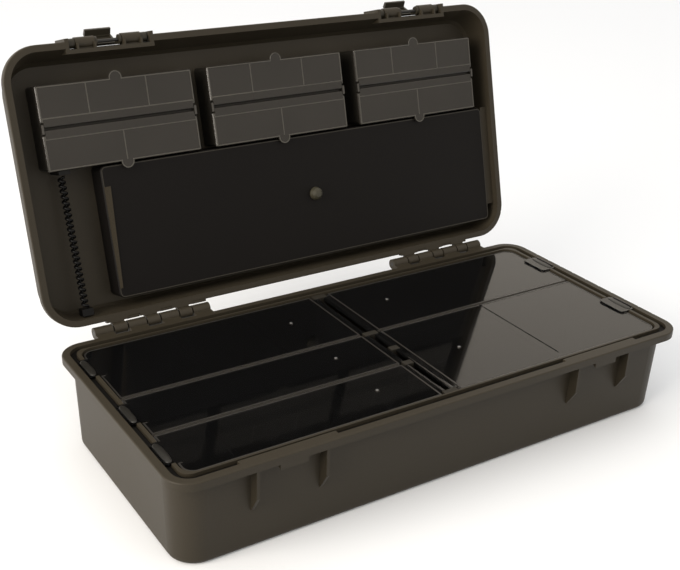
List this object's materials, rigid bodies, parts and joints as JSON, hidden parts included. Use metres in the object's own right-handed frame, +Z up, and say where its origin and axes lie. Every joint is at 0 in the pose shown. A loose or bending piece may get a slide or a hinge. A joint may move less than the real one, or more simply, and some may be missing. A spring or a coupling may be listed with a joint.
{
  "type": "fishing tackle cabinet",
  "caption": "Tackle box with a covered compartment tub and a deep hinged lid that carries small clear boxes, a rig board and a rig spring",
  "frame": {"origin": "middle of the tub's underside, on the ground", "axes": "+X along the length to the right, -Y to the latch side, +Z up"},
  "size_m": [0.4, 0.2738, 0.2542],
  "materials": {
    "tub_plastic": "moulded olive polypropylene, fine texture",
    "lid_plastic": "moulded olive polypropylene, fine texture",
    "seal_rubber": "black rubber cord",
    "pin_steel": "drawn steel wire",
    "wall_plastic": "moulded plastic walls",
    "smoked_plastic": "smoked clear plastic",
    "clear_plastic": "clear plastic",
    "latch_plastic": "moulded plastic",
    "board_plastic": "dark moulded plastic",
    "strip_foam": "light brown foam strip",
    "knob_plastic": "olive plastic",
    "spring_black": "black coated steel"
  },
  "bodies": {
    "tub": {"tub_shell": "tub_plastic", "rim_seal": "seal_rubber", "hinge_pin_left": "pin_steel", "hinge_pin_right": "pin_steel", "centre_spine": "wall_plastic", "cover_pin_left": "pin_steel", "cover_pin_right": "pin_steel", "divider_left_back": "wall_plastic", "divider_left_front": "wall_plastic", "divider_right": "wall_plastic", "partition_back_outer": "wall_plastic", "partition_back_inner": "wall_plastic", "partition_front_outer": "wall_plastic", "partition_front_inner": "wall_plastic", "partition_right": "wall_plastic"},
    "lid": {"lid_shell": "lid_plastic", "latch_pin_left": "pin_steel", "latch_pin_right": "pin_steel", "box_tray_left": "clear_plastic", "box_tray_middle": "clear_plastic", "box_tray_right": "clear_plastic", "box_hinge_pins": "pin_steel", "rig_board": "board_plastic", "board_edge_strip": "strip_foam", "spring_anchor_low": "spring_black", "spring_anchor_high": "spring_black", "rig_spring": "spring_black"},
    "cover_left_back_body": {"cover_left_back": "smoked_plastic"},
    "cover_left_middle_body": {"cover_left_middle": "smoked_plastic"},
    "cover_left_front_body": {"cover_left_front": "smoked_plastic"},
    "cover_right_back_body": {"cover_right_back": "smoked_plastic"},
    "cover_right_front_body": {"cover_right_front": "smoked_plastic"},
    "box_lid_left_upper_body": {"box_lid_left_upper": "clear_plastic"},
    "box_lid_left_lower_body": {"box_lid_left_lower": "clear_plastic"},
    "box_lid_middle_upper_body": {"box_lid_middle_upper": "clear_plastic"},
    "box_lid_middle_lower_body": {"box_lid_middle_lower": "clear_plastic"},
    "box_lid_right_upper_body": {"box_lid_right_upper": "clear_plastic"},
    "box_lid_right_lower_body": {"box_lid_right_lower": "clear_plastic"},
    "latch_left_body": {"latch_left": "latch_plastic"},
    "latch_right_body": {"latch_right": "latch_plastic"},
    "board_knob_body": {"board_knob": "knob_plastic"}
  },
  "joints": [
    {"name": "lid_hinge", "type": "hinge", "parent": "tub", "child": "lid", "pos_m": [0, 0.102, 0.065], "axis": [-1, 0, 0], "range_deg": [-105.3, 0]},
    {"name": "cover_left_back_hinge", "type": "hinge", "parent": "tub", "child": "cover_left_back_body", "pos_m": [-0.0036, 0, 0.0624], "axis": [0, 1, 0], "range_deg": [0, 88]},
    {"name": "cover_left_middle_hinge", "type": "hinge", "parent": "tub", "child": "cover_left_middle_body", "pos_m": [-0.0036, 0, 0.0624], "axis": [0, 1, 0], "range_deg": [0, 88]},
    {"name": "cover_left_front_hinge", "type": "hinge", "parent": "tub", "child": "cover_left_front_body", "pos_m": [-0.0036, 0, 0.0624], "axis": [0, 1, 0], "range_deg": [0, 88]},
    {"name": "cover_right_back_hinge", "type": "hinge", "parent": "tub", "child": "cover_right_back_body", "pos_m": [0.0036, 0, 0.0624], "axis": [0, -1, 0], "range_deg": [0, 88]},
    {"name": "cover_right_front_hinge", "type": "hinge", "parent": "tub", "child": "cover_right_front_body", "pos_m": [0.0036, 0, 0.0624], "axis": [0, -1, 0], "range_deg": [0, 88]},
    {"name": "latch_left_hinge", "type": "hinge", "parent": "lid", "child": "latch_left_body", "pos_m": [-0.1241, 0.15973, 0.24951], "axis": [-1, 0, 0], "range_deg": [-150, 0]},
    {"name": "latch_right_hinge", "type": "hinge", "parent": "lid", "child": "latch_right_body", "pos_m": [0.1241, 0.15973, 0.24951], "axis": [-1, 0, 0], "range_deg": [-150, 0]},
    {"name": "box_lid_left_upper_hinge", "type": "hinge", "parent": "lid", "child": "box_lid_left_upper_body", "pos_m": [-0.124, 0.14305, 0.2014], "axis": [1, 0, 0], "range_deg": [0, 85]},
    {"name": "box_lid_left_lower_hinge", "type": "hinge", "parent": "lid", "child": "box_lid_left_lower_body", "pos_m": [-0.124, 0.14205, 0.19774], "axis": [-1, 0, 0], "range_deg": [0, 85]},
    {"name": "box_lid_middle_upper_hinge", "type": "hinge", "parent": "lid", "child": "box_lid_middle_upper_body", "pos_m": [0, 0.14305, 0.2014], "axis": [1, 0, 0], "range_deg": [0, 85]},
    {"name": "box_lid_middle_lower_hinge", "type": "hinge", "parent": "lid", "child": "box_lid_middle_lower_body", "pos_m": [0, 0.14205, 0.19774], "axis": [-1, 0, 0], "range_deg": [0, 85]},
    {"name": "box_lid_right_upper_hinge", "type": "hinge", "parent": "lid", "child": "box_lid_right_upper_body", "pos_m": [0.124, 0.14305, 0.2014], "axis": [1, 0, 0], "range_deg": [0, 85]},
    {"name": "box_lid_right_lower_hinge", "type": "hinge", "parent": "lid", "child": "box_lid_right_lower_body", "pos_m": [0.124, 0.14205, 0.19774], "axis": [-1, 0, 0], "range_deg": [0, 85]},
    {"name": "board_knob_turn", "type": "hinge", "parent": "lid", "child": "board_knob_body", "pos_m": [0.022, 0.1234, 0.12806], "axis": [0, 0.9646, -0.2639], "range_deg": [0, 90]}
  ]
}
